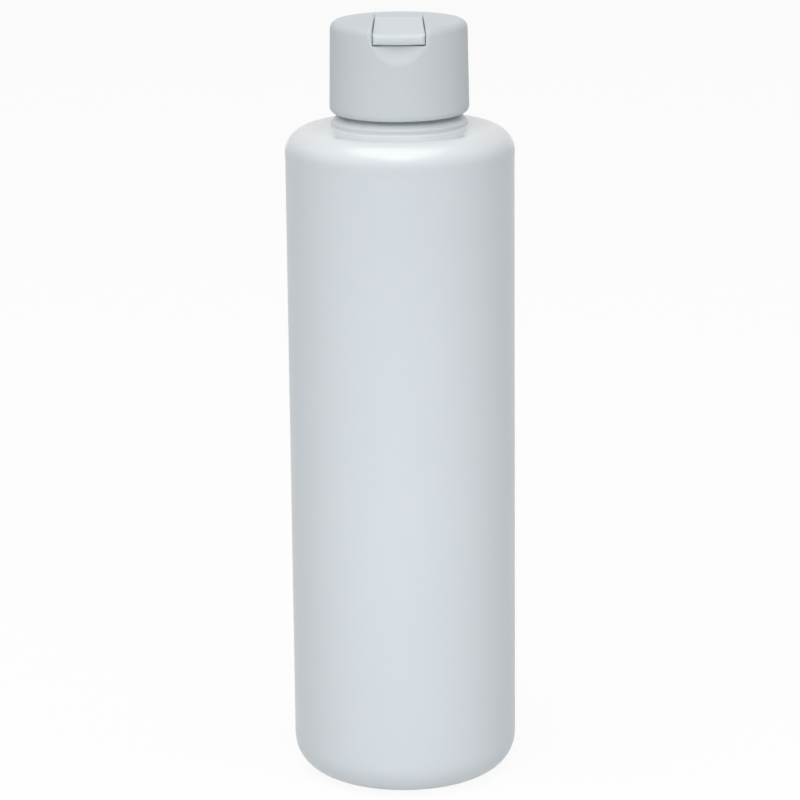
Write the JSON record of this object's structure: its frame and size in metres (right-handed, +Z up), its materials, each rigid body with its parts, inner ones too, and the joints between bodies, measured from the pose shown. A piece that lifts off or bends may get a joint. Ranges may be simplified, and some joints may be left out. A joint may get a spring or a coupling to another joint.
{
  "type": "screw-cap bottle with flip-up spout",
  "caption": "Slim round blow-moulded bottle with a collared screw neck and a short screw cap that has a flip-up pouring spout over a scooped thumb bowl.",
  "frame": {"origin": "middle of the base, on the plane that the bottle stands on", "axes": "+Z up along the bottle's axis; the spout's lip and the thumb bowl face -Y, and +X is to the right of someone who faces the lip"},
  "size_m": [0.05, 0.05, 0.1696],
  "materials": {
    "bottle_plastic": "satin, slightly glossy blown polyethylene",
    "ring_foam": "matt white foam",
    "cap_plastic": "fine matt moulded polypropylene",
    "spout_plastic": "satin moulded polypropylene"
  },
  "bodies": {
    "bottle": {"bottle": "bottle_plastic"},
    "seal": {"sealing_ring": "ring_foam"},
    "cap": {"cap": "cap_plastic"},
    "spout": {"spout": "spout_plastic"}
  },
  "joints": [
    {"name": "cap_lift", "type": "slide", "parent": "bottle", "child": "seal", "axis": [0, 0, 1], "range_m": [0, 0.01695]},
    {"name": "cap_turn", "type": "hinge", "parent": "seal", "child": "cap", "pos_m": [0, 0, 0.16212], "axis": [0, 0, 1], "range_deg": [0, 1440]},
    {"name": "spout_flip", "type": "hinge", "parent": "cap", "child": "spout", "pos_m": [0, 0.0055, 0.16592], "axis": [-1, 0, 0], "range_deg": [0, 90]}
  ],
  "couplings": [
    {"joint": "cap_lift", "follows": "cap_turn", "m_per_rad": 0.0006737}
  ]
}
